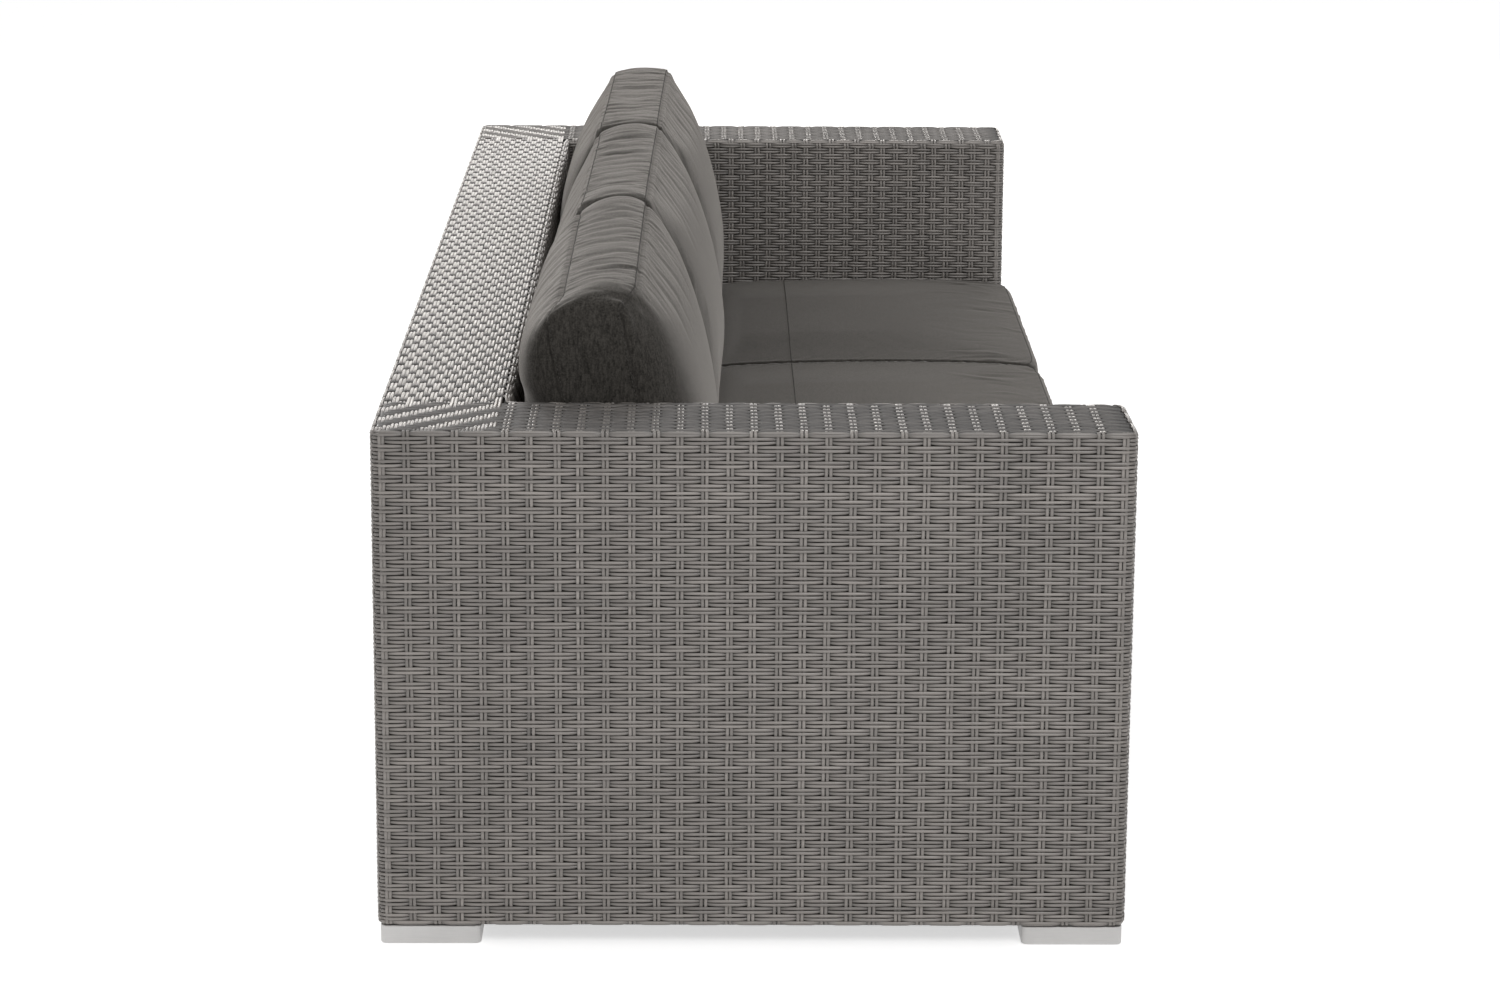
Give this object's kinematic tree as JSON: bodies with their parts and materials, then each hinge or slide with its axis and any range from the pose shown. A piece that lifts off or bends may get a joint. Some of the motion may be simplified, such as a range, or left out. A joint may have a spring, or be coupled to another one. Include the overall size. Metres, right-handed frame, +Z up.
{
  "type": "garden sofa",
  "caption": "Woven rattan garden sofa: boxy arms and back over a tube frame on flat block feet, with seat and back cushions that lift off.",
  "frame": {"origin": "middle of the bounding box's footprint, on the floor", "axes": "+X to the sitter's left along the width, -Y the front, +Z up"},
  "size_m": [2.23, 0.855, 0.7356],
  "materials": {
    "rattan": "woven polyethylene strands, satin",
    "webbing": "woven strap",
    "frame_metal": "powder coated",
    "foot_metal": "brushed",
    "fastener_steel": "zinc plated",
    "glide_rubber": "matt",
    "cushion_fabric": "woven outdoor cloth, taupe grey",
    "cushion_foam": "open-cell foam and fibre",
    "zip_plastic": "coil zip"
  },
  "bodies": {
    "sofa": {"arm_weave_right": "rattan", "arm_weave_left": "rattan", "back_weave": "rattan", "front_weave": "rattan", "seat_webbing": "webbing", "arm_frame_right": "frame_metal", "arm_frame_left": "frame_metal", "back_frame": "frame_metal", "seat_front_frame": "frame_metal", "seat_rear_rail": "frame_metal", "seat_bearer_1": "frame_metal", "seat_bearer_2": "frame_metal", "seat_bearer_3": "frame_metal", "seat_bearer_4": "frame_metal", "seat_bearer_5": "frame_metal", "seat_bolt_right_front": "fastener_steel", "seat_bolt_right_rear": "fastener_steel", "seat_bolt_left_front": "fastener_steel", "seat_bolt_left_rear": "fastener_steel", "seat_bolt_back_1": "fastener_steel", "seat_bolt_back_2": "fastener_steel", "seat_bolt_back_3": "fastener_steel", "seat_bolt_back_4": "fastener_steel", "foot_front_right": "foot_metal", "foot_rear_right": "foot_metal", "foot_front_left": "foot_metal", "foot_rear_left": "foot_metal", "foot_glide_front_right": "glide_rubber", "foot_glide_rear_right": "glide_rubber", "foot_glide_front_left": "glide_rubber", "foot_glide_rear_left": "glide_rubber", "foot_screw_front_right": "fastener_steel", "foot_screw_rear_right": "fastener_steel", "foot_screw_front_left": "fastener_steel", "foot_screw_rear_left": "fastener_steel"},
    "seat_cushion_right": {"seat_cushion_right_cover": "cushion_fabric", "seat_cushion_right_core": "cushion_foam", "seat_cushion_right_zip": "zip_plastic"},
    "seat_cushion_middle": {"seat_cushion_middle_cover": "cushion_fabric", "seat_cushion_middle_core": "cushion_foam", "seat_cushion_middle_zip": "zip_plastic"},
    "seat_cushion_left": {"seat_cushion_left_cover": "cushion_fabric", "seat_cushion_left_core": "cushion_foam", "seat_cushion_left_zip": "zip_plastic"},
    "back_cushion_right": {"back_cushion_right_cover": "cushion_fabric", "back_cushion_right_core": "cushion_foam", "back_cushion_right_zip": "zip_plastic"},
    "back_cushion_middle": {"back_cushion_middle_cover": "cushion_fabric", "back_cushion_middle_core": "cushion_foam", "back_cushion_middle_zip": "zip_plastic"},
    "back_cushion_left": {"back_cushion_left_cover": "cushion_fabric", "back_cushion_left_core": "cushion_foam", "back_cushion_left_zip": "zip_plastic"}
  },
  "joints": [
    {"name": "seat_cushion_right_lift", "type": "slide", "parent": "sofa", "child": "seat_cushion_right", "axis": [0, 0, 1], "range_m": [0, 0.36]},
    {"name": "seat_cushion_middle_lift", "type": "slide", "parent": "sofa", "child": "seat_cushion_middle", "axis": [0, 0, 1], "range_m": [0, 0.36]},
    {"name": "seat_cushion_left_lift", "type": "slide", "parent": "sofa", "child": "seat_cushion_left", "axis": [0, 0, 1], "range_m": [0, 0.36]},
    {"name": "back_cushion_right_lift", "type": "slide", "parent": "seat_cushion_right", "child": "back_cushion_right", "axis": [0, 0, 1], "range_m": [0, 0.3]},
    {"name": "back_cushion_middle_lift", "type": "slide", "parent": "seat_cushion_middle", "child": "back_cushion_middle", "axis": [0, 0, 1], "range_m": [0, 0.3]},
    {"name": "back_cushion_left_lift", "type": "slide", "parent": "seat_cushion_left", "child": "back_cushion_left", "axis": [0, 0, 1], "range_m": [0, 0.3]}
  ]
}
